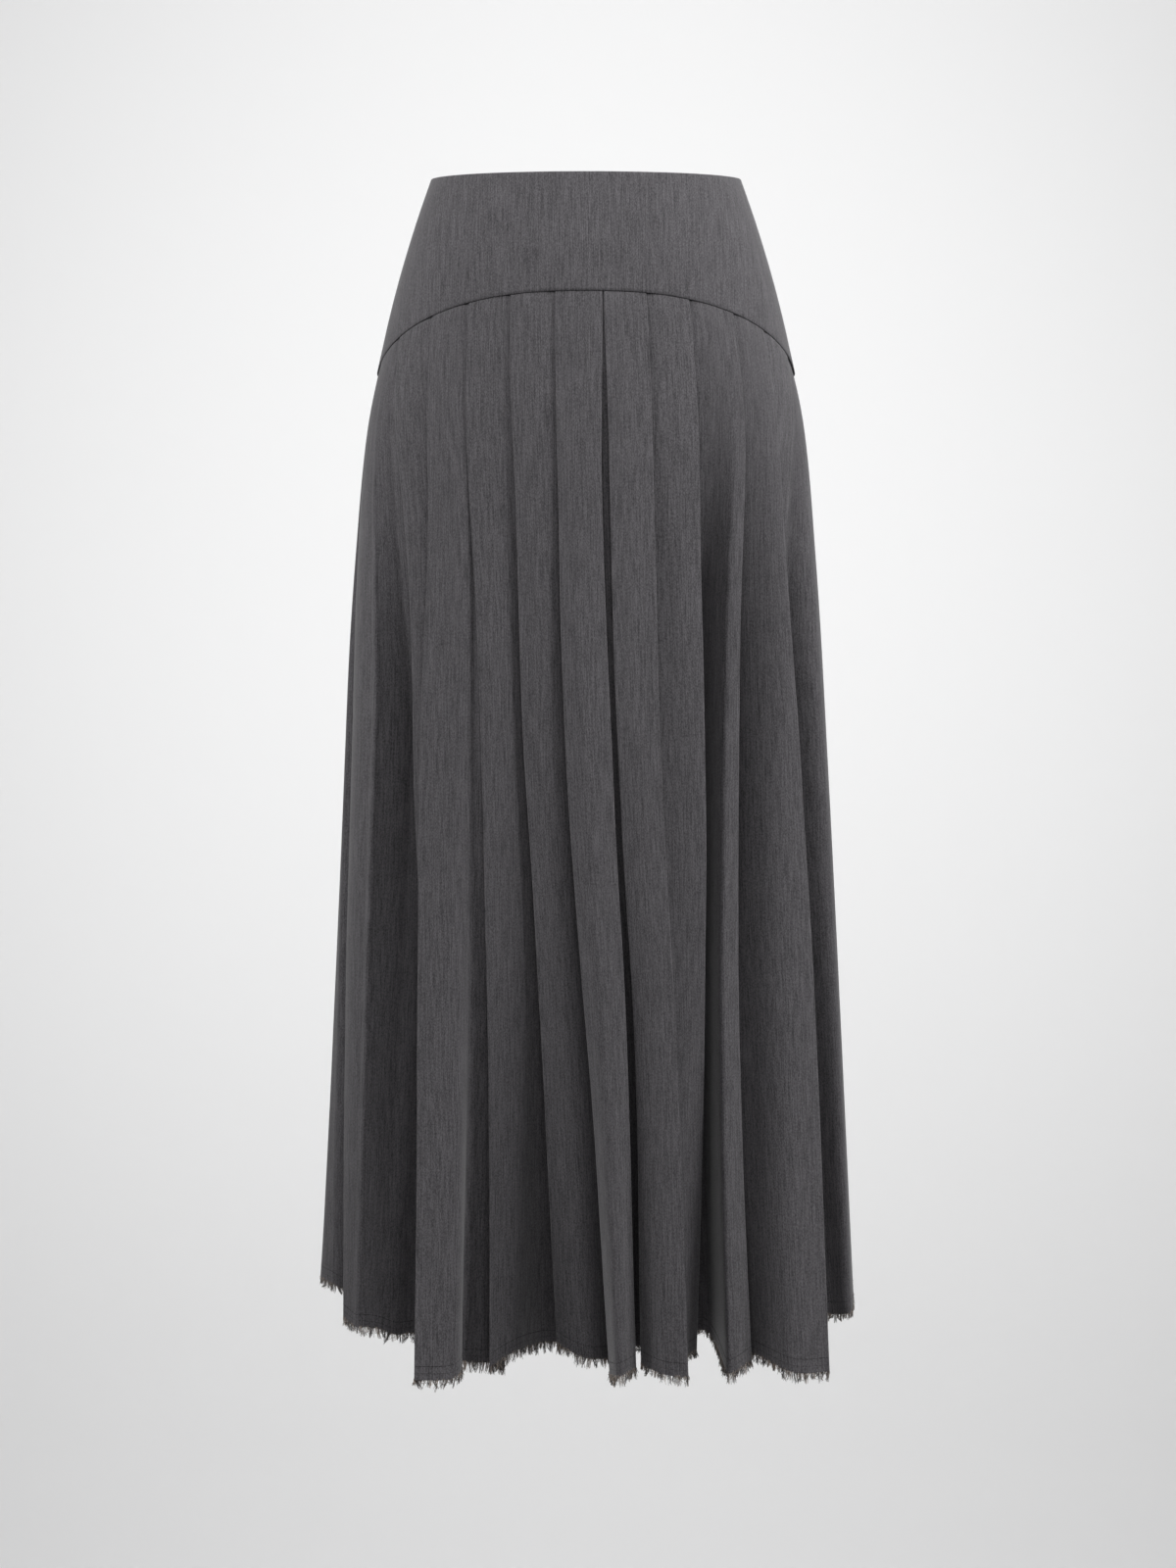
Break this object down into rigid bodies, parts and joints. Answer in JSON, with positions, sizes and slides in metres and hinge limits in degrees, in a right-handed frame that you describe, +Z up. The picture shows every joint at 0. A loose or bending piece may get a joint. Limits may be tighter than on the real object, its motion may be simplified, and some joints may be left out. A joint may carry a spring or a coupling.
{
  "type": "pleated maxi skirt",
  "caption": "Long knife-pleated skirt with a fitted arched yoke, a raw frayed hem and a concealed centre-back zip, filled out as if worn.",
  "frame": {"origin": "centre of the waist opening, at the yoke's top edge, where the wearer holds it", "axes": "+Z up out of the waist, front of the skirt towards -Y, +X to the right seen from the front"},
  "size_m": [0.4631, 0.3945, 0.948],
  "materials": {
    "suiting": "mid to dark grey melange suiting, matt, fine twill grain",
    "fringe": "loose warp threads, grey with paler brownish ones",
    "zip_tape": "dark grey woven tape",
    "zip_coil": "dark grey nylon coil",
    "zip_metal": "dark grey lacquered metal"
  },
  "bodies": {
    "skirt": {"yoke_front": "suiting", "yoke_back_right": "suiting", "yoke_back_left": "suiting", "skirt_front": "suiting", "skirt_back_right": "suiting", "skirt_back_left": "suiting", "fringe_front": "fringe", "fringe_back_right": "fringe", "fringe_back_left": "fringe", "zip_tape_right": "zip_tape", "zip_tape_left": "zip_tape", "zip_coil": "zip_coil", "zip_slider": "zip_metal"},
    "pull": {"zip_pull": "zip_metal"}
  },
  "joints": [
    {"name": "pull_hinge", "type": "hinge", "parent": "skirt", "child": "pull", "pos_m": [0, 0.09741, -0.00873], "axis": [1, 0, 0], "range_deg": [0, 160]}
  ]
}
